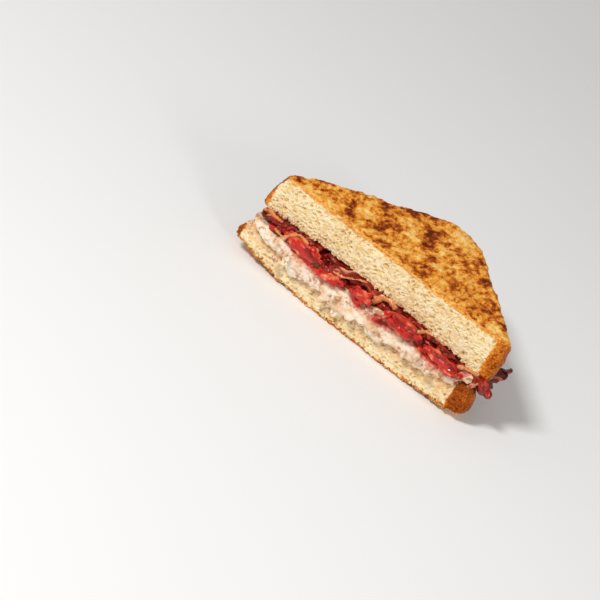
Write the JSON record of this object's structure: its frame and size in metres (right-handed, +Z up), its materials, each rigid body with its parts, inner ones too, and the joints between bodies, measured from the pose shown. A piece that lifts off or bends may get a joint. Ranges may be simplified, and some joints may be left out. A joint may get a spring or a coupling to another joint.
{
  "type": "grilled cheese sandwich half",
  "caption": "Triangular half of a toasted sandwich on thick bread, filled with soft white cheese, red fruit jam and bacon.",
  "frame": {"origin": "on the flat of the lower slice's underside, below the middle of the slice", "axes": "+Z up through the layers, +X along the cut face from its left tip to its right, +Y from the cut face towards the bread's square corner"},
  "size_m": [0.1462, 0.0839, 0.0464],
  "materials": {
    "bread": "toasted bread: golden fried face with brown scorches, pale open crumb on the cut, brown crust",
    "cheese": "soft curd cheese, moist, off-white with pink and tan stains",
    "jam": "clear dark red jam, wet",
    "bacon": "fried bacon, greasy, dark red lean with amber fat",
    "fruit": "soft red fruit in syrup, wet"
  },
  "bodies": {
    "root": {"bread_bottom": "bread", "bread_top": "bread", "cheese": "cheese", "jam": "jam", "bacon_1": "bacon", "bacon_2": "bacon", "bacon_3": "bacon", "bacon_4": "bacon", "fruit_1": "fruit", "fruit_2": "fruit", "fruit_3": "fruit", "fruit_4": "fruit", "fruit_5": "fruit", "fruit_6": "fruit", "fruit_7": "fruit", "fruit_8": "fruit", "fruit_9": "fruit"}
  },
  "joints": []
}
